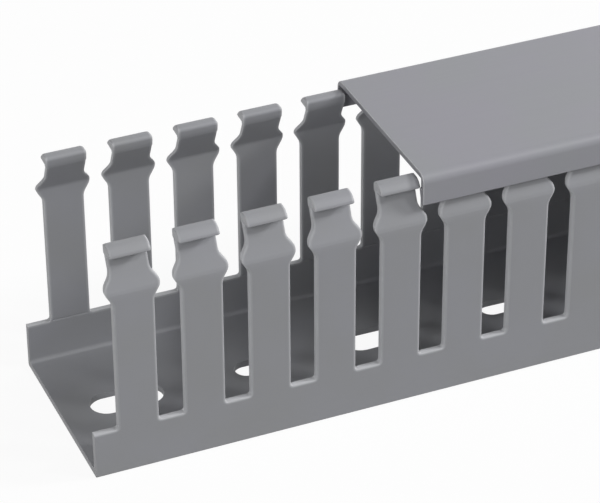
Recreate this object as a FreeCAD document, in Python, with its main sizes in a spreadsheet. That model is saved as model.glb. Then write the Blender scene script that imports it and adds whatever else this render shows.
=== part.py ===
"""Slotted wire duct: a trough with hooked fingers, and a push-fit cover slid part way along it.

Frame, in millimetres: X along the duct, Y across it, Z up from the underside of the base.
The origin is at the middle of the trough's underside. The cover is drawn back from the end at negative X.
"""
import FreeCAD, Part
import Sketcher
import math
import os

V = FreeCAD.Vector
ROOT = -1
START, END, CENTRE = 1, 2, 3

SIZES = [
    # overall, with the cover on
    ("duct_length", 1000.0),
    ("duct_width", 60.0),
    ("duct_height", 75.0),
    # the trough
    ("wall", 2.0),
    ("base", 2.0),
    ("root_radius", 2.0),
    ("foot_radius", 0.6),
    # fingers and slots
    ("pitch", 20.0),
    ("slot_width", 8.0),
    ("slot_floor", 14.8),
    ("slot_corner", 0.8),
    ("first_finger", 7.2),
    # heads: the wall leans in above the fold and turns back outward into a flat-topped hook
    ("head_height", 13.7),
    ("fold_step", 1.2),
    ("lean", 4.7),
    ("root_drop", 2.9),
    ("tip_inset", 1.2),
    ("tip_drop", 2.7),
    ("tip_bevel", 0.5),
    ("tip_face", 0.9),
    ("crest_inset", 2.5),
    ("crest_width", 3.5),
    ("crest_bevel", 0.6),
    ("nape_inset", 6.2),
    ("nape_drop", 3.4),
    # shoulders that narrow each slot, measured from the fold
    ("gap_half", 1.9),
    ("nose_rise", 0.9),
    ("nose_face", 1.0),
    ("shoulder_drop", 3.0),
    ("shoulder_rise", 4.8),
    # mounting slots in the base
    ("long_slot", 22.4),
    ("long_slot_width", 10.4),
    ("short_slot", 12.4),
    ("short_slot_width", 7.4),
    ("hole_step", 80.0),
    ("end_margin", 20.0),
    # the cover
    ("cover_gap", 0.3),
    ("cover_plate", 1.5),
    ("cover_corner", 2.4),
    ("cover_inner_corner", 0.8),
    ("skirt_rise", 5.8),
    ("lip_gap", 0.4),
    ("lip_foot", 1.2),
    ("lip_reach", 2.6),
    ("cover_slide", 99.5),
]

doc = FreeCAD.newDocument("slotted_wire_duct")
sheet = doc.addObject("Spreadsheet::Sheet", "sizes")


class Size:
    """A number together with the expression that gives it from the sheet."""

    def __init__(self, value, text):
        self.value = value
        self.text = text

    def join(self, other, sign, value):
        right = other.text if isinstance(other, Size) else repr(float(other))
        return Size(value, "(%s %s %s)" % (self.text, sign, right))

    def __add__(self, other):
        return self.join(other, "+", self.value + worth(other))

    def __sub__(self, other):
        return self.join(other, "-", self.value - worth(other))

    def __mul__(self, other):
        return self.join(other, "*", self.value * worth(other))

    def __truediv__(self, other):
        return self.join(other, "/", self.value / worth(other))


def worth(item):
    return item.value if isinstance(item, Size) else float(item)


def whole(size):
    """The whole number at or under a size."""
    return Size(math.floor(size.value), "floor(%s)" % size.text)


SIZE = {}
for row, (alias, amount) in enumerate(SIZES, start=1):
    sheet.set("A%d" % row, alias)
    sheet.set("B%d" % row, repr(amount))
    sheet.setAlias("B%d" % row, alias)
    SIZE[alias] = Size(amount, "sizes." + alias)
doc.recompute()


def s(alias):
    return SIZE[alias]


def new_body(name):
    body = doc.addObject("PartDesign::Body", name)
    body.Label = name
    return body


def plane(body, role):
    return next(o for o in body.Origin.OriginFeatures if o.Role == role)


def new_sketch(body, name, role):
    sketch = body.newObject("Sketcher::SketchObject", name)
    sketch.AttachmentSupport = [(plane(body, role), "")]
    sketch.MapMode = "FlatFace"
    return sketch


def bind(sketch, kind, geometry, amount):
    """Adds one driving constraint and ties it to the sheet."""
    index = sketch.addConstraint(Sketcher.Constraint(kind, *geometry, amount.value))
    sketch.setExpression("Constraints[%d]" % index, amount.text)


def pin(sketch, geo, pos, across, up):
    """Places one point of the sketch."""
    bind(sketch, "DistanceX", (ROOT, START, geo, pos), across)
    bind(sketch, "DistanceY", (ROOT, START, geo, pos), up)


def tangent_ends(one, two):
    """Where a straight side leaves one rounded corner and meets the next."""
    (ax, ay, ar), (bx, by, br) = one, two
    reach = math.hypot(bx - ax, by - ay)
    lean_angle = math.atan2(by - ay, bx - ax) + math.acos((br - ar) / reach)
    nx, ny = math.cos(lean_angle), math.sin(lean_angle)
    return (ax - ar * nx, ay - ar * ny), (bx - br * nx, by - br * ny)


def outline(sketch, corners):
    """A closed outline run with its inside on the left, every side straight.

    A corner is (across, up) when sharp, or (across, up, radius, turn) for an arc about that centre:
    turn is 1 where the outline turns left round it and -1 where it turns right.
    """
    count = len(corners)
    rounds = []
    for corner in corners:
        signed = corner[2].value * corner[3] if len(corner) == 4 else 0.0
        rounds.append((corner[0].value, corner[1].value, signed))
    ends = [tangent_ends(rounds[i], rounds[(i + 1) % count]) for i in range(count)]
    sides = []
    for start, finish in ends:
        sides.append(sketch.addGeometry(Part.LineSegment(V(*start, 0), V(*finish, 0)), False))
    for i, corner in enumerate(corners):
        before, after = sides[i - 1], sides[i]
        if len(corner) == 2:
            sketch.addConstraint(Sketcher.Constraint("Coincident", before, END, after, START))
            pin(sketch, after, START, corner[0], corner[1])
            continue
        cx, cy, signed = rounds[i]
        arrive = math.atan2(ends[i - 1][1][1] - cy, ends[i - 1][1][0] - cx)
        leave = math.atan2(ends[i][0][1] - cy, ends[i][0][0] - cx)
        first, last = (arrive, leave) if signed > 0 else (leave, arrive)
        circle = Part.Circle(V(cx, cy, 0), V(0, 0, 1), abs(signed))
        arc = sketch.addGeometry(Part.ArcOfCircle(circle, first, last), False)
        enter, depart = (START, END) if signed > 0 else (END, START)
        sketch.addConstraint(Sketcher.Constraint("Tangent", before, END, arc, enter))
        sketch.addConstraint(Sketcher.Constraint("Tangent", arc, depart, after, START))
        pin(sketch, arc, CENTRE, corner[0], corner[1])
        bind(sketch, "Radius", (arc,), corner[2])


def feature(body, kind, name, sketch=None):
    made = body.newObject(kind, name)
    if sketch is not None:
        made.Profile = sketch
        sketch.Visibility = False
    return made


def along(body, name, original, step, count):
    """Repeats a cut along the duct."""
    row = body.newObject("PartDesign::LinearPattern", name)
    row.Originals = [original]
    row.Direction = (plane(body, "X_Axis"), [""])
    row.Mode = "Spacing"
    row.setExpression("Offset", step.text)
    row.setExpression("Occurrences", count.text)
    body.Tip = row
    return row


def long_edges(shape, places, reach=0.05):
    """Names of the edges that run along the duct through the given (Y, Z) places."""
    names = []
    for number, edge in enumerate(shape.Edges, start=1):
        box = edge.BoundBox
        if box.XLength < 10 or box.YLength > reach or box.ZLength > reach:
            continue
        if any(abs(box.YMin - y) < reach and abs(box.ZMin - z) < reach for y, z in places):
            names.append("Edge%d" % number)
    return names


zero = Size(0.0, "0.0")
half_width = s("duct_width") / 2
half_length = s("duct_length") / 2

# Heights that the trough, its slots and the cover share.
cover_top = s("duct_height")
cover_under = cover_top - s("cover_plate")
crest = cover_under - s("cover_gap")
tip_low = crest - s("tip_drop")
hook_root = crest - s("root_drop")
fold = crest - s("head_height")
skirt_low = fold + s("skirt_rise")
floor = s("slot_floor")


def inset(side, depth):
    """A place across the duct, measured inward from one wall's outer face."""
    return (half_width - depth) * side


# The trough: base, two walls and their heads, one closed section.
body = new_body("duct_body")
section = new_sketch(body, "trough_section", "YZ_Plane")


def wall_section(side):
    """One wall, from the foot of its outer face up over the hook and down inside to the base."""
    tip = s("tip_inset")
    crest_end = s("crest_inset") + s("crest_width")
    return [
        (inset(side, zero), zero),
        (inset(side, zero), fold),
        (inset(side, s("lean")), hook_root),
        (inset(side, tip + s("tip_bevel")), tip_low),
        (inset(side, tip), tip_low + s("tip_bevel")),
        (inset(side, tip), tip_low + s("tip_bevel") + s("tip_face")),
        (inset(side, s("crest_inset")), crest),
        (inset(side, crest_end), crest),
        (inset(side, crest_end + s("crest_bevel")), crest - s("crest_bevel")),
        (inset(side, s("nape_inset")), crest - s("nape_drop")),
        (inset(side, s("wall")), fold + s("fold_step")),
        (inset(side, s("wall")), s("base")),
    ]


outline(section, wall_section(1) + list(reversed(wall_section(-1))))
trough = feature(body, "PartDesign::Pad", "trough", section)
trough.SideType = "Symmetric"
trough.setExpression("Length", s("duct_length").text)
body.Tip = trough
doc.recompute()

wall_line = s("duct_width").value / 2
roots = [(side * (wall_line - s("wall").value), s("base").value) for side in (-1, 1)]
feet = [(side * wall_line, 0.0) for side in (-1, 1)]
root_round = feature(body, "PartDesign::Fillet", "root_round")
root_round.Base = (trough, long_edges(trough.Shape, roots))
root_round.setExpression("Radius", s("root_radius").text)
body.Tip = root_round
doc.recompute()
foot_round = feature(body, "PartDesign::Fillet", "foot_round")
foot_round.Base = (root_round, long_edges(root_round.Shape, feet))
foot_round.setExpression("Radius", s("foot_radius").text)
body.Tip = foot_round
doc.recompute()

# One slot through both walls, bottle shaped by the shoulders of the fingers beside it.
slot_half = s("slot_width") / 2
slot_middle = s("first_finger") - slot_half - half_length
corner = s("slot_corner")
shoulder_foot = fold - s("shoulder_drop")
nose_low = fold + s("nose_rise")
slot_count = whole((s("duct_length") - s("first_finger") + s("slot_width")) / s("pitch")) + 1
slot_sketch = new_sketch(body, "slot_outline", "XZ_Plane")


def slot_side(side):
    """One side of the slot, from the floor up to the open top."""
    return [
        (slot_middle + (slot_half - corner) * side, floor),
        (slot_middle + slot_half * side, floor + corner),
        (slot_middle + slot_half * side, shoulder_foot),
        (slot_middle + s("gap_half") * side, nose_low),
        (slot_middle + s("gap_half") * side, nose_low + s("nose_face")),
        (slot_middle + slot_half * side, fold + s("shoulder_rise")),
        (slot_middle + slot_half * side, cover_top),
    ]


outline(slot_sketch, slot_side(1) + list(reversed(slot_side(-1))))
slot = feature(body, "PartDesign::Pocket", "slot", slot_sketch)
slot.SideType = "Symmetric"
slot.Type = "Length"
slot.setExpression("Length", (s("duct_width") + s("pitch")).text)
body.Tip = slot
doc.recompute()
along(body, "slots", slot, s("pitch"), slot_count)
doc.recompute()

# The near end is sawn through a slot, so the shoulders that stood left of it fall away.
offcut_sketch = new_sketch(body, "offcut_outline", "XZ_Plane")
offcut_left = zero - half_length - s("wall")
offcut_low = shoulder_foot - s("wall")
outline(offcut_sketch, [
    (offcut_left, offcut_low),
    (slot_middle, offcut_low),
    (slot_middle, cover_top),
    (offcut_left, cover_top),
])
offcut = feature(body, "PartDesign::Pocket", "offcut", offcut_sketch)
offcut.SideType = "Symmetric"
offcut.Type = "Length"
offcut.setExpression("Length", (s("duct_width") + s("pitch")).text)
body.Tip = offcut
doc.recompute()

# Mounting slots in the base, long and short by turns.
long_count = whole((s("duct_length") - s("end_margin") * 2) / s("hole_step")) + 1


def base_slot(name, middle, length, width, count):
    """A row of slots with round ends along the middle of the base."""
    sketch = new_sketch(body, name + "_outline", "XY_Plane")
    centre = length / 2 - width / 2
    outline(sketch, [(middle - centre, zero, width / 2, 1), (middle + centre, zero, width / 2, 1)])
    cut = feature(body, "PartDesign::Pocket", name, sketch)
    cut.Type = "Length"
    cut.Reversed = True
    cut.setExpression("Length", (s("base") * 2).text)
    body.Tip = cut
    doc.recompute()
    along(body, name + "s", cut, s("hole_step"), count)
    doc.recompute()


first_hole = (zero - (long_count - 1) * s("hole_step")) / 2
base_slot("long_slot_hole", first_hole, s("long_slot"), s("long_slot_width"), long_count)
base_slot("short_slot_hole", first_hole + s("hole_step") / 2, s("short_slot"), s("short_slot_width"), long_count - 1)

# The cover: a plate with two short skirts, each ending in a lip that sits under the hooks.
cover = new_body("cover")
cover_section = new_sketch(cover, "cover_section", "YZ_Plane")
cover_section.setExpression(".AttachmentOffset.Base.z", s("cover_slide").text)
skirt = s("tip_inset") - s("cover_gap")
lip_top = tip_low - s("lip_gap")


def cover_side(side):
    """One skirt, from the middle of its outer face round to the plate's underside."""
    outer = s("cover_corner")
    inner = s("cover_inner_corner")
    return [
        (inset(side, outer), cover_top - outer, outer, 1),
        (inset(side, zero), skirt_low),
        (inset(side, s("lip_foot")), skirt_low),
        (inset(side, s("lip_reach")), lip_top),
        (inset(side, skirt), lip_top),
        (inset(side, skirt + inner), cover_under - inner, inner, -1),
    ]


outline(cover_section, cover_side(-1) + list(reversed(cover_side(1))))
cover_strip = feature(cover, "PartDesign::Pad", "cover_strip", cover_section)
cover_strip.SideType = "Symmetric"
cover_strip.setExpression("Length", s("duct_length").text)
cover.Tip = cover_strip
doc.recompute()

for item in doc.Objects:
    faults = [word for word in item.State if word in ("Invalid", "Error")]
    if faults:
        raise RuntimeError("%s is %s" % (item.Name, faults))
for sketch in doc.findObjects("Sketcher::SketchObject"):
    if not sketch.FullyConstrained:
        raise RuntimeError("%s is not fully constrained" % sketch.Name)

os.makedirs("parts", exist_ok=True)
for piece in (body, cover):
    shape = piece.Shape
    if shape.isNull() or not shape.isValid() or len(shape.Solids) != 1:
        raise RuntimeError("%s has no single valid solid" % piece.Label)
    shape.exportStep("parts/%s.step" % piece.Label)
    print("%s: %.1f cm3, %d faces" % (piece.Label, shape.Volume / 1000, len(shape.Faces)))
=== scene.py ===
# %% [markdown]
# # Slotted wire duct
# The real thing is two extrusions of rigid PVC: a U shaped trough whose walls are punched into
# hooked fingers, and a cover that springs over the hooks. The frame brings both pieces at their
# true size. This lesson makes finer surfaces for them, with the rolled edges that a punch leaves,
# and then lights them in front of a white ground.

import math

import bmesh
import bpy
from mathutils import Matrix, Vector


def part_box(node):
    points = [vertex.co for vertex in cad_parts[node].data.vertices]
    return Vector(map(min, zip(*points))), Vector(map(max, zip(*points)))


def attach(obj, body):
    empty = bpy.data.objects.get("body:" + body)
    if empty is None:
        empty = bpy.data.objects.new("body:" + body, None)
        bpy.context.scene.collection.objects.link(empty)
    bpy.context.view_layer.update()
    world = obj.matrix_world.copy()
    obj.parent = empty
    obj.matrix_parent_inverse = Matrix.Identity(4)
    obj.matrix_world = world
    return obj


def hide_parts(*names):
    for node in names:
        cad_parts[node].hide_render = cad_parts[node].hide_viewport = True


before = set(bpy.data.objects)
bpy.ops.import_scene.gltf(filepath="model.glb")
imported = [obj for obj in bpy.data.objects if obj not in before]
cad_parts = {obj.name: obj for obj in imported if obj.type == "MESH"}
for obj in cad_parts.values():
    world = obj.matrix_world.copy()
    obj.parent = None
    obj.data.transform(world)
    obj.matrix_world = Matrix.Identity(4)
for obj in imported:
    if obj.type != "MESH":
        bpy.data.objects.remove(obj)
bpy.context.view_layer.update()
scene = bpy.context.scene
MM = 0.001

# %% [markdown]
# ## The camera
# A product picture of long stock is taken from far away with a long lens, so the lines along the
# duct hardly converge. The view could be set by eye, but a straight extrusion has many parallel
# edges of known size, and those give the direction, the distance and the lens directly. The camera
# is therefore worked out from a heading, a tilt and a roll about the point that it looks past.

# %% Place the camera
HEADING = 0.3971
TILT = 0.579
ROLL = -0.0059
LOOKED_AT = Vector((-440.0, -10.0, 30.0)) * MM
TO_RIGHT, TO_TOP, BACK_OFF = 9.6394 * MM, 15.4436 * MM, 842.3342 * MM
FOCAL_PIXELS, IMAGE_WIDTH = 2939.3724, 600

forward = Vector((math.sin(HEADING) * math.cos(TILT), math.cos(HEADING) * math.cos(TILT), -math.sin(TILT)))
level = Vector((math.cos(HEADING), -math.sin(HEADING), 0.0))
upright = level.cross(forward)
right = level * math.cos(ROLL) + upright * math.sin(ROLL)
up = upright * math.cos(ROLL) - level * math.sin(ROLL)

camera = bpy.data.objects.new("camera", bpy.data.cameras.new("camera"))
camera.data.sensor_width = 36.0
camera.data.lens = FOCAL_PIXELS * camera.data.sensor_width / IMAGE_WIDTH
camera.data.clip_start, camera.data.clip_end = 0.05, 50.0
turn = Matrix((right, up, -forward)).transposed()
stands = LOOKED_AT + right * TO_RIGHT + up * TO_TOP - forward * BACK_OFF
camera.matrix_world = Matrix.Translation(stands) @ turn.to_4x4()
scene.collection.objects.link(camera)
scene.camera = camera
print("lens %.1f mm, camera at" % camera.data.lens, [round(c, 3) for c in camera.location])

# %% [markdown]
# ## Colours and nodes
# Paint charts give colours as sRGB hex values, and shaders need linear numbers. One function
# turns the one into the other, and one function adds a node, so that each material below reads as
# a short list of what it is made of.


# %% Colour and node helpers
def from_hex(code):
    """The linear colour of an sRGB hex value."""
    parts = [int(code[i:i + 2], 16) / 255 for i in (1, 3, 5)]
    linear = [c / 12.92 if c <= 0.04045 else ((c + 0.055) / 1.055) ** 2.4 for c in parts]
    return (*linear, 1.0)


def add_node(tree, kind, sockets=None, **settings):
    """Adds a node, gives it its settings, and fills its sockets with a value or a link."""
    node = tree.nodes.new(kind)
    for name, value in settings.items():
        setattr(node, name, value)
    for name, value in (sockets or {}).items():
        if isinstance(value, bpy.types.NodeSocket):
            tree.links.new(value, node.inputs[name])
        else:
            node.inputs[name].default_value = value
    return node


def new_material(name):
    """A material with an empty node tree, and its output node."""
    material = bpy.data.materials.new(name)
    material.use_nodes = True
    material.node_tree.nodes.clear()
    return material, add_node(material.node_tree, "ShaderNodeOutputMaterial")


print("mid grey is", [round(c, 3) for c in from_hex("#808080")])

# %% [markdown]
# ## Extruded rigid PVC
# Rigid PVC leaves the die with a satin skin: a broad soft sheen, faint lines along the length where
# the die has drawn them, and a hardly visible cloudiness in the pigment. A punch tears and folds
# the plastic as it goes through, which whitens it: the cut faces and the edge rolled over beside
# them are a lighter, drier grey. Here that grey is lighter than the whitening alone, which adds a
# painted highlight on those edges. The noise that draws the die lines is stretched along the duct,
# and the whitening and painted highlight follow a number that the mesh carries at the corners of its faces.

# %% Make the PVC
DIE_LINE, LINE_DEPTH = 0.45 * MM, 0.02 * MM
GRAIN, GRAIN_DEPTH = 0.5 * MM, 0.01 * MM
CLOUD = 22.0 * MM
STRETCH = 0.012
SATIN_FROM, SATIN_TO = 0.42, 0.5
CUT_IS_DRIER = 0.12


def extruded_pvc(name, shade, cloud_shade, whitened_highlight_shade):
    """Satin grey rigid PVC, lighter where the mesh attribute "punched" says so: whitening and painted
    highlight.
    """
    material, output = new_material(name)
    tree = material.node_tree
    place = add_node(tree, "ShaderNodeTexCoord").outputs["Object"]
    drawn = add_node(tree, "ShaderNodeMapping", {"Vector": place, "Scale": (STRETCH, 1.0, 1.0)}).outputs[0]
    lines = add_node(tree, "ShaderNodeTexNoise", {"Vector": drawn, "Scale": 1 / DIE_LINE, "Detail": 2.0})
    clouds = add_node(tree, "ShaderNodeTexNoise", {"Vector": place, "Scale": 1 / CLOUD, "Detail": 3.0})
    grain = add_node(tree, "ShaderNodeTexNoise", {"Vector": place, "Scale": 1 / GRAIN, "Detail": 4.0})
    spread = add_node(tree, "ShaderNodeMapRange", {
        "Value": clouds.outputs["Fac"], "From Min": 0.35, "From Max": 0.65})
    skin = add_node(tree, "ShaderNodeMix", {"Factor": spread.outputs[0]}, data_type="RGBA")
    skin.inputs["A"].default_value = from_hex(shade)
    skin.inputs["B"].default_value = from_hex(cloud_shade)
    # Where punched, the colour turns to the lighter grey of the punch's whitening and a painted highlight.
    cut = add_node(tree, "ShaderNodeAttribute", attribute_name="punched")
    colour = add_node(tree, "ShaderNodeMix", {"Factor": cut.outputs["Fac"]}, data_type="RGBA")
    tree.links.new(skin.outputs["Result"], colour.inputs["A"])
    colour.inputs["B"].default_value = from_hex(whitened_highlight_shade)
    sheen = add_node(tree, "ShaderNodeMapRange", {
        "Value": lines.outputs["Fac"], "From Min": 0.3, "From Max": 0.7,
        "To Min": SATIN_FROM, "To Max": SATIN_TO})
    dry = add_node(tree, "ShaderNodeMath", {
        0: cut.outputs["Fac"], 1: CUT_IS_DRIER, 2: sheen.outputs[0]}, operation="MULTIPLY_ADD")
    ridges = add_node(tree, "ShaderNodeBump", {
        "Height": lines.outputs["Fac"], "Strength": 0.25, "Distance": LINE_DEPTH})
    relief = add_node(tree, "ShaderNodeBump", {
        "Height": grain.outputs["Fac"], "Strength": 0.3, "Distance": GRAIN_DEPTH, "Normal": ridges.outputs[0]})
    plastic = add_node(tree, "ShaderNodeBsdfPrincipled", {
        "Base Color": colour.outputs["Result"], "Roughness": dry.outputs[0],
        "Normal": relief.outputs[0], "IOR": 1.5})
    tree.links.new(plastic.outputs[0], output.inputs["Surface"])
    return material


# The third colour is the lighter grey of cut faces: whitening and painted highlight.
trough_pvc = extruded_pvc("extruded_rigid_pvc_trough", "#999a9f", "#97989b", "#c1c2c5")
cover_pvc = extruded_pvc("extruded_rigid_pvc_cover", "#97989d", "#98979f", "#c1c2c5")
print("materials:", trough_pvc.name, cover_pvc.name)

# %% [markdown]
# ## Flat outlines with rounded corners
# Both extrusions start as a flat outline, as they do for the die maker. A few vertices make a face,
# and a bevel of single vertices rounds each corner: it needs to know how far back from the corner
# the round starts and in how many steps it turns.


# %% Outline and mesh helpers
def rounded_face(bm, corners, place):
    """A flat face. A corner is (u, v) when sharp, or (u, v, cut back, steps) when rounded, in mm."""
    verts = [bm.verts.new(place(corner[0] * MM, corner[1] * MM)) for corner in corners]
    bm.faces.new(verts)
    for vert, corner in zip(verts, corners):
        if len(corner) == 4:
            bmesh.ops.bevel(bm, geom=[vert], offset=corner[2] * MM, segments=corner[3],
                            profile=0.5, affect="VERTICES", material=-1, clamp_overlap=False)
    return bm.faces[:]


def pushed_out(bm, faces, way):
    """Extrudes faces into a closed bar."""
    made = bmesh.ops.extrude_face_region(bm, geom=faces, use_keep_orig=True)
    moved = [item for item in made["geom"] if isinstance(item, bmesh.types.BMVert)]
    bmesh.ops.translate(bm, verts=moved, vec=way)
    bmesh.ops.recalc_face_normals(bm, faces=bm.faces)


def everything(bm):
    """All the vertices, edges and faces of a bmesh."""
    return bm.verts[:] + bm.edges[:] + bm.faces[:]


def new_object(name, bm):
    """Puts a bmesh into a new object of the scene."""
    mesh = bpy.data.meshes.new(name)
    bm.to_mesh(mesh)
    bm.free()
    made = bpy.data.objects.new(name, mesh)
    scene.collection.objects.link(made)
    return made


def after_modifiers(thing):
    """The bmesh that an object's modifiers leave. The object itself is removed."""
    graph = bpy.context.evaluated_depsgraph_get()
    bm = bmesh.new()
    bm.from_object(thing, graph)
    old = thing.data
    bpy.data.objects.remove(thing)
    bpy.data.meshes.remove(old)
    return bm


# %% [markdown]
# ## One slot of one wall
# The wall repeats every 20 mm, so only one pitch of it is modelled, with the slot in the middle
# and half a finger on each side. It is made the way the factory makes it: the blank is the
# extruded section, with its fold and its outward hook, and the punch goes straight through it.
# Drawing the hooked and shouldered finger face by face would need far more care for the same
# surface.

# %% Extrude the blank and punch it
WALL_FACE = -30.0 * MM
WALL = 2.0
SEAM_INSET = 6.0
PITCH = 20.0
SLOT_HALF, SLOT_FLOOR = 4.0, 14.8
PUNCH_BEFORE, PUNCH_REACH = 4.0, 14.0
WALL_SECTION = [
    (SEAM_INSET, 0.0),
    (0.0, 0.0, 0.6, 2),
    (0.0, 59.5, 0.9, 2),
    (4.7, 70.3),
    (1.2, 70.5, 0.3, 2),
    (1.2, 71.3, 0.45, 2),
    (3.1, 73.2, 1.2, 3),
    (6.6, 73.2, 1.2, 3),
    (6.2, 69.8, 0.9, 2),
    (WALL, 60.7, 0.6, 2),
    (WALL, 2.0, 1.3, 3),
    (SEAM_INSET, 2.0),
]
SLOT_SIDE = [
    (SLOT_HALF, SLOT_FLOOR, 0.9, 3),
    (SLOT_HALF, 56.5, 1.0, 3),
    (1.46, 60.9, 1.7, 5),
    (SLOT_HALF + 0.2, 64.6, 1.1, 3),
    (SLOT_HALF + 0.2, 69.6),
    (SLOT_HALF, 70.2),
    (SLOT_HALF, 78.0),
]


def mirrored(corners):
    """The corners of the other side, in reverse order."""
    return [(-corner[0], *corner[1:]) for corner in reversed(corners)]


blank = bmesh.new()
section = rounded_face(blank, WALL_SECTION, lambda u, v: Vector((-PITCH / 2 * MM, WALL_FACE + u, v)))
pushed_out(blank, section, Vector((PITCH * MM, 0, 0)))
wall_blank = new_object("wall_blank", blank)

tool = bmesh.new()
slot_outline = rounded_face(tool, SLOT_SIDE + mirrored(SLOT_SIDE),
                            lambda u, v: Vector((u, WALL_FACE - PUNCH_BEFORE * MM, v)))
pushed_out(tool, slot_outline, Vector((0, PUNCH_REACH * MM, 0)))
punch = new_object("punch", tool)

cut = wall_blank.modifiers.new("punched", "BOOLEAN")
cut.operation, cut.solver, cut.object = "DIFFERENCE", "EXACT", punch
pitch_mesh = after_modifiers(wall_blank)
bpy.data.objects.remove(punch)
print("one pitch of wall:", len(pitch_mesh.verts), "vertices,", len(pitch_mesh.faces), "faces")

# %% [markdown]
# ## The rolled edge
# The punch drags the skin with it, so the edge on the outer side is rolled over: nearly a
# millimetre of skin slopes down by a third of that, while the inner side stays sharp. A bevel
# would cut as deep as it is wide, so the skin is inset twice instead, and the rows of vertices
# that this makes are then sunk. The inset slides along edges that run with the duct, so the
# rounded shoulders first get such an edge at each of their vertices.

# %% Give the shoulders an edge at each vertex
SHOULDERS_FROM, SHOULDERS_TO = 55.0 * MM, 71.0 * MM
ON_PLANE = 2e-6
TINY = 1e-6
SKIN, CUT, LIP, SLOPE = 0, 1, 2, 3
# A cut face lies this near the slot's middle line, above this height, and edge on to the wall.
CUTS_WITHIN, CUTS_FROM = (SLOT_HALF + 0.3) * MM, (SLOT_FLOOR - 0.1) * MM
EDGE_ON = 0.01

ends = [f for f in pitch_mesh.faces if abs(abs(f.calc_center_median().x) - PITCH / 2 * MM) < TINY]
seams = [f for f in pitch_mesh.faces if all(abs(v.co.y - WALL_FACE - SEAM_INSET * MM) < TINY for v in f.verts)]
bmesh.ops.delete(pitch_mesh, geom=ends + seams, context="FACES")
pitch_mesh.normal_update()
for face in pitch_mesh.faces:
    middle = face.calc_center_median()
    beside_slot = abs(middle.x) < CUTS_WITHIN and middle.z > CUTS_FROM
    face.material_index = CUT if beside_slot and abs(face.normal.y) < EDGE_ON else SKIN


def kinds_at(vert):
    """What the faces round a vertex are."""
    return {f.material_index for f in vert.link_faces}


rows = {round(v.co.z, 6) for v in pitch_mesh.verts
        if kinds_at(v) == {SKIN, CUT} and SHOULDERS_FROM < v.co.z < SHOULDERS_TO}
for row in sorted(rows):
    bmesh.ops.bisect_plane(pitch_mesh, geom=everything(pitch_mesh), dist=ON_PLANE,
                           plane_co=(0, 0, row), plane_no=(0, 0, 1))
print("rows on the shoulders:", len(rows))

# %% Roll the outer edges and mark the whitening and painted highlight
# The lip is the ring along the cut and the slope is the next one. Each has a width, and a depth to
# which its outer vertices sink. Skin that faces the channel stays sharp, so there the depth fades.
LIP_WIDTH, LIP_DEPTH = 0.3, 0.3
SLOPE_WIDTH, SLOPE_DEPTH = 0.5, 0.08
SINKS_BELOW, FADES_OVER = 0.8, 0.6
NECK_FROM = 65.0 * MM

skin = [f for f in pitch_mesh.faces if f.material_index == SKIN]
for kind, width in ((LIP, LIP_WIDTH), (SLOPE, SLOPE_WIDTH)):
    ring = bmesh.ops.inset_region(pitch_mesh, faces=skin, thickness=width * MM, depth=0.0, use_boundary=False,
                                  use_even_offset=True, use_edge_rail=True)["faces"]
    for face in ring:
        face.material_index = kind
pitch_mesh.normal_update()

sunk = []
for vert in pitch_mesh.verts:
    kinds = kinds_at(vert)
    depth = LIP_DEPTH if CUT in kinds else SLOPE_DEPTH if {LIP, SLOPE} <= kinds else 0.0
    facing = sum((f.normal for f in vert.link_faces if f.material_index != CUT), Vector())
    if depth and facing.length:
        facing.normalize()
        share = max(0.0, min(1.0, (SINKS_BELOW - facing.y) / FADES_OVER))
        inward = -facing if vert.co.z > NECK_FROM else Vector((0, 1, 0))
        sunk.append((vert, inward * depth * share * MM))
# Cut faces get all of the lighter grey and the rolled lip and slope half of it: the punch's whitening and a
# painted highlight along the rolled edge.
whitening_and_highlight = pitch_mesh.loops.layers.float.new("punched")
for face in pitch_mesh.faces:
    for corner in face.loops:
        kinds = kinds_at(corner.vert)
        corner[whitening_and_highlight] = 1.0 if CUT in kinds else 0.5 if {LIP, SLOPE} <= kinds else 0.0
for vert, move in sunk:
    vert.co += move
for face in pitch_mesh.faces:
    face.material_index = SKIN
print("rolled:", len(pitch_mesh.faces), "faces a pitch")

# %% [markdown]
# ## The score line
# A V shaped groove along the inner side marks where a finger snaps off. Three cuts across the
# inner faces make two narrow strips, and the row of vertices between them is pushed in.

# %% Press in the score line
SCORE, SCORE_HALF, SCORE_DEPTH = 14.9, 0.55, 0.4
SCORE_CLEARS_SLOT = 0.5
FACES_CHANNEL = 0.99
INNER_SIDE = WALL_FACE + (WALL + 0.1) * MM

for height in (SCORE - SCORE_HALF, SCORE, SCORE + SCORE_HALF):
    inner = [f for f in pitch_mesh.faces
             if f.normal.y > FACES_CHANNEL and f.calc_center_median().y < INNER_SIDE]
    around = list({e for f in inner for e in f.edges}) + list({v for f in inner for v in f.verts})
    bmesh.ops.bisect_plane(pitch_mesh, geom=inner + around, dist=ON_PLANE,
                           plane_co=(0, 0, height * MM), plane_no=(0, 0, 1))
    pitch_mesh.normal_update()
groove = [v for v in pitch_mesh.verts
          if abs(v.co.z - SCORE * MM) < ON_PLANE and abs(v.co.y - WALL_FACE - WALL * MM) < ON_PLANE
          and abs(v.co.x) > (SLOT_HALF + SCORE_CLEARS_SLOT) * MM]
bmesh.ops.translate(pitch_mesh, verts=groove, vec=Vector((0, -SCORE_DEPTH * MM, 0)))
print("score line:", len(groove), "vertices pushed in")

# %% [markdown]
# ## The whole trough
# The pitch is repeated along the length and welded, the saw trims both ends, and the second wall
# is its mirror image. The base is left as one flat plate with holes: round ended outlines are made
# from circles whose halves are drawn apart, and a fill that understands holes closes the plate
# round them. An Array modifier could repeat the wall, but then the two sawn ends would have to be
# cut in a copy anyway.

# %% Repeat the pitch, saw the ends and mirror the wall
LENGTH = 1000.0
FIRST_SLOT = -496.8
CUT_OFF_ABOVE = 40.0
WELD = 0.005 * MM
ON_SAW = 1e-7

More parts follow.
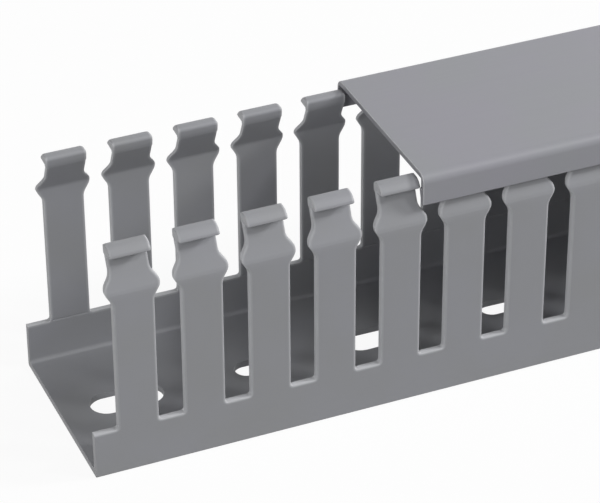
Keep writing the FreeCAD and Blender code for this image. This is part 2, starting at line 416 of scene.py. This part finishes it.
source = everything(pitch_mesh)
slot_count = math.floor((LENGTH / 2 - FIRST_SLOT + PITCH / 2) / PITCH) + 1
for number in range(1, slot_count):
    copy = bmesh.ops.duplicate(pitch_mesh, geom=source)
    verts = [item for item in copy["geom"] if isinstance(item, bmesh.types.BMVert)]
    bmesh.ops.translate(pitch_mesh, verts=verts, vec=Vector((number * PITCH * MM, 0, 0)))
bmesh.ops.translate(pitch_mesh, verts=pitch_mesh.verts, vec=Vector((FIRST_SLOT * MM, 0, 0)))
bmesh.ops.remove_doubles(pitch_mesh, verts=pitch_mesh.verts, dist=WELD)
for side in (-1, 1):
    bmesh.ops.bisect_plane(pitch_mesh, geom=everything(pitch_mesh), dist=ON_SAW, clear_outer=True,
                           plane_co=(side * LENGTH / 2 * MM, 0, 0), plane_no=(side, 0, 0))
# The saw runs through the first slot, so what it leaves of the shoulder before that slot falls off.
fallen = [f for f in pitch_mesh.faces
          if f.calc_center_median().x < (FIRST_SLOT - 1) * MM and f.calc_center_median().z > CUT_OFF_ABOVE * MM]
bmesh.ops.delete(pitch_mesh, geom=fallen, context="FACES")
bmesh.ops.mirror(pitch_mesh, geom=everything(pitch_mesh), matrix=Matrix.Identity(4), merge_dist=0.0, axis="Y")
print("two walls:", len(pitch_mesh.faces), "faces,", slot_count, "slots a wall")

# %% Fill the base round its mounting slots and close the ends
LONG_SLOT, SHORT_SLOT = (22.4, 10.4), (12.4, 7.4)
FIRST_HOLE, HOLE_STEP, HOLE_COUNT = -480.0, 40.0, 25
BASE = 2.0


def round_ended(bm, middle, size, height, steps=24):
    """The rim of a round ended slot: a circle with its halves drawn apart. Returns its edges."""
    length, width = size
    made = bmesh.ops.create_circle(bm, segments=steps, radius=width / 2 * MM,
                                   matrix=Matrix.Translation((0, 0, height * MM)))["verts"]
    for vert in made:
        drawn = (length - width) / 2 * MM
        vert.co.x += middle * MM + (drawn if vert.co.x > 0 else -drawn)
    return list({e for v in made for e in v.link_edges})


trough_mesh = pitch_mesh
rims = {0.0: [], BASE: []}
for number in range(HOLE_COUNT):
    middle = FIRST_HOLE + number * HOLE_STEP
    size = SHORT_SLOT if number % 2 else LONG_SLOT
    low = round_ended(trough_mesh, middle, size, 0.0)
    wall = bmesh.ops.extrude_edge_only(trough_mesh, edges=low)["geom"]
    top_verts = [item for item in wall if isinstance(item, bmesh.types.BMVert)]
    bmesh.ops.translate(trough_mesh, verts=top_verts, vec=Vector((0, 0, BASE * MM)))
    rims[0.0] += low
    rims[BASE] += [item for item in wall if isinstance(item, bmesh.types.BMEdge)
                   and all(abs(v.co.z - BASE * MM) < TINY for v in item.verts)]

seam_line = abs(WALL_FACE) - SEAM_INSET * MM
for height, rim in rims.items():
    border = [e for e in trough_mesh.edges if e.is_boundary and all(
        abs(v.co.z - height * MM) < TINY and abs(abs(v.co.y) - seam_line) < TINY for v in e.verts)]
    for side in (-1, 1):
        corners = [v for e in border for v in e.verts if abs(v.co.x - side * LENGTH / 2 * MM) < TINY]
        border += bmesh.ops.contextual_create(trough_mesh, geom=list(set(corners)))["edges"]
    filled = bmesh.ops.triangle_fill(trough_mesh, edges=border + rim, use_beauty=True, use_dissolve=False)
    print("base at %.0f mm:" % height, len(border), "border edges,", len(filled["geom"]), "made")
bmesh.ops.holes_fill(trough_mesh, edges=[e for e in trough_mesh.edges if e.is_boundary], sides=0)
bmesh.ops.recalc_face_normals(trough_mesh, faces=trough_mesh.faces)
open_edges = [e for e in trough_mesh.edges if not e.is_manifold]
print("trough:", len(trough_mesh.faces), "faces, open edges:", len(open_edges))

# %% [markdown]
# ## The cover
# The cover is a plain extrusion: a thin plate, two skirts rounded over at the top, and an inward lip
# on each that slips under the hooks. Its sawn ends carry a slight burr, so their outer edge is
# rounded a little and catches the light; its faces get the lighter grey, partly saw whitening and
# partly painted highlight. It is drawn back from the open end of the trough, and
# takes its place along the duct from the frame.

# %% Extrude the cover
COVER_HALF = 30.0
BURR, BURR_FROM = 0.25, 65.65
OUTER_SIDE = 29.0
SAWN_END = 0.9
COVER_SIDE = [
    (COVER_HALF - 1.2, 65.3, 0.3, 2),
    (COVER_HALF - 2.6, 70.1, 0.2, 1),
    (COVER_HALF - 0.9, 70.1, 0.2, 2),
    (COVER_HALF - 0.9, 73.5, 1.2, 3),
]
COVER_OUTER = [(COVER_HALF, 75.0, 2.9, 7), (COVER_HALF, 65.3, 0.3, 2)]
cover_low, cover_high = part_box("cover")

cover_mesh = bmesh.new()
outline = COVER_OUTER + COVER_SIDE + mirrored(COVER_SIDE) + mirrored(COVER_OUTER)
cover_section = rounded_face(cover_mesh, outline, lambda u, v: Vector((cover_low.x, u, v)))
pushed_out(cover_mesh, cover_section, Vector((cover_high.x - cover_low.x, 0, 0)))
# The burr follows the outer edge of each sawn end, down to the small round at a skirt's foot.
sawn = []
for edge in cover_mesh.edges:
    skins = [f.normal for f in edge.link_faces if abs(f.normal.x) < SAWN_END]
    middle = (edge.verts[0].co + edge.verts[1].co) / 2
    if len(skins) == 1 and middle.z > BURR_FROM * MM:
        if skins[0].z > 0.1 or skins[0].y * middle.y > OUTER_SIDE * MM:
            sawn.append(edge)
burr = bmesh.ops.bevel(cover_mesh, geom=sawn, offset=BURR * MM, segments=2, profile=0.5,
                       affect="EDGES", material=-1, clamp_overlap=False)["faces"]
# The bevel also hands back flat ends and long skins; the burr's own faces are short along the duct.
# The burr's faces get the lighter grey: saw whitening and a painted highlight along the edge.
whitening_and_highlight = cover_mesh.loops.layers.float.new("punched")
for face in burr:
    reach = [v.co.x for v in face.verts]
    if 0.01 * MM < max(reach) - min(reach) < 2 * BURR * MM:
        for corner in face.loops:
            corner[whitening_and_highlight] = 1.0
# The burr runs out on the first vertex of the skirt's small lower round, so the two are welded.
bmesh.ops.remove_doubles(cover_mesh, verts=cover_mesh.verts, dist=WELD)
open_edges = [e for e in cover_mesh.edges if not e.is_manifold]
print("cover:", len(cover_mesh.faces), "faces, open edges:", len(open_edges))

# %% [markdown]
# ## Smooth where it is rounded, crisp where it is cut
# Flat faces next to a narrow round pick up a false gradient when they are shaded smooth. Edges
# sharper than the steps of a round are marked sharp, and the Weighted Normal modifier lets the
# large flat faces decide, which keeps them flat right up to the round.

# %% Finish both pieces
SHARP_FROM = math.radians(55)


def finished(name, bm, node, body, material):
    """Turns a bmesh into the piece that stands for a CAD node."""
    piece = new_object(name, bm)
    piece.data.materials.clear()
    piece.data.materials.append(material)
    piece.data.shade_smooth()
    piece.data.set_sharp_from_angle(angle=SHARP_FROM)
    shading = piece.modifiers.new("flat_faces_first", "WEIGHTED_NORMAL")
    shading.keep_sharp = True
    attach(piece, body)
    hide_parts(node)
    return piece


trough = finished("trough", trough_mesh, "duct_body", "trough", trough_pvc)
lid = finished("lid", cover_mesh, "cover", "lid", cover_pvc)
print("pieces:", trough.name, lid.name)

# %% [markdown]
# ## White ground and studio light
# The picture is a cut-out look: the ground is white wherever the camera sees it, while the channel
# under the cover is nearly black, so hardly any light comes from all round. More light on the duct
# would only bleach it, so the white comes from the floor's and the world's own colour for camera
# rays, and the floor keeps a trace of shadow. The object itself sees a mid grey floor and soft
# lamps: two from the right, two weaker ones from the left, a faint one above and a low one behind.
# The low one stands well to the right, since straight behind it would mirror as a glare on the
# cover's flat top.

# %% Make the floor, the world and the lamps
FLOOR_HALF, FLOOR_BELOW = 6.0, 0.05 * MM
FLOOR_SHOWS = 0.07
AMBIENT = 0.08


def seen_directly(tree):
    """One for rays that show the ground to the eye: straight, mirrored or through something clear."""
    rays = add_node(tree, "ShaderNodeLightPath")
    shown = rays.outputs["Is Camera Ray"]
    for other in ("Is Glossy Ray", "Is Transmission Ray"):
        either = add_node(tree, "ShaderNodeMath", {0: shown, 1: rays.outputs[other]}, operation="MAXIMUM")
        shown = either.outputs[0]
    return shown


floor_mesh = bmesh.new()
bmesh.ops.create_grid(floor_mesh, x_segments=1, y_segments=1, size=FLOOR_HALF,
                      matrix=Matrix.Translation((0, 0, -FLOOR_BELOW)))
floor = new_object("floor", floor_mesh)
paper, output = new_material("white_paper_floor")
tree = paper.node_tree
shown = seen_directly(tree)
tone = add_node(tree, "ShaderNodeMix", {"Factor": shown}, data_type="RGBA")
tone.inputs["A"].default_value = from_hex("#a0a0a0")
tone.inputs["B"].default_value = from_hex("#ffffff")
matt = add_node(tree, "ShaderNodeBsdfDiffuse", {"Color": tone.outputs["Result"]})
white = add_node(tree, "ShaderNodeEmission", {"Color": (1, 1, 1, 1), "Strength": 1.0})
share = add_node(tree, "ShaderNodeMath", {0: shown, 1: 1.0 - FLOOR_SHOWS}, operation="MULTIPLY")
ground = add_node(tree, "ShaderNodeMixShader", {0: share.outputs[0], 1: matt.outputs[0], 2: white.outputs[0]})
tree.links.new(ground.outputs[0], output.inputs["Surface"])
floor.data.materials.append(paper)

world = bpy.data.worlds.new("studio")
scene.world = world
world.use_nodes = True
tree = world.node_tree
tree.nodes.clear()
soft = add_node(tree, "ShaderNodeBackground", {"Color": (1, 1, 1, 1), "Strength": AMBIENT})
plain = add_node(tree, "ShaderNodeBackground", {"Color": (1, 1, 1, 1), "Strength": 1.0})
sky = add_node(tree, "ShaderNodeMixShader", {0: seen_directly(tree), 1: soft.outputs[0], 2: plain.outputs[0]})
tree.links.new(sky.outputs[0], add_node(tree, "ShaderNodeOutputWorld").inputs["Surface"])

LAMPS = [
    # name, where it stands from the near end of the duct, size, share of the light that shows white
    ("right", (2.3, -0.6, 1.4), 0.5, 0.53),
    ("front_right", (1.75, -1.3, 2.15), 0.4, 0.205),
    ("front_left", (-1.3, -1.6, 1.5), 0.6, 0.19),
    ("low_left", (-1.8, -1.5, 0.5), 0.8, 0.22),
    ("above", (0.1, -0.1, 2.5), 1.0, 0.078),
    ("behind", (2.1, 1.5, 0.7), 1.0, 0.3),
]
NEAR_END = Vector((-0.42, 0.0, 0.04))
for name, offset, size, share in LAMPS:
    away = Vector(offset)
    lamp = bpy.data.objects.new(name, bpy.data.lights.new(name, "AREA"))
    lamp.data.shape, lamp.data.size = "DISK", size
    lamp.data.energy = share * math.pi ** 2 * away.length_squared
    lamp.location = NEAR_END + away
    lamp.rotation_euler = away.to_track_quat("Z", "Y").to_euler()
    scene.collection.objects.link(lamp)
scene.view_settings.view_transform = "Standard"
print("lamps:", [name for name, *_ in LAMPS])
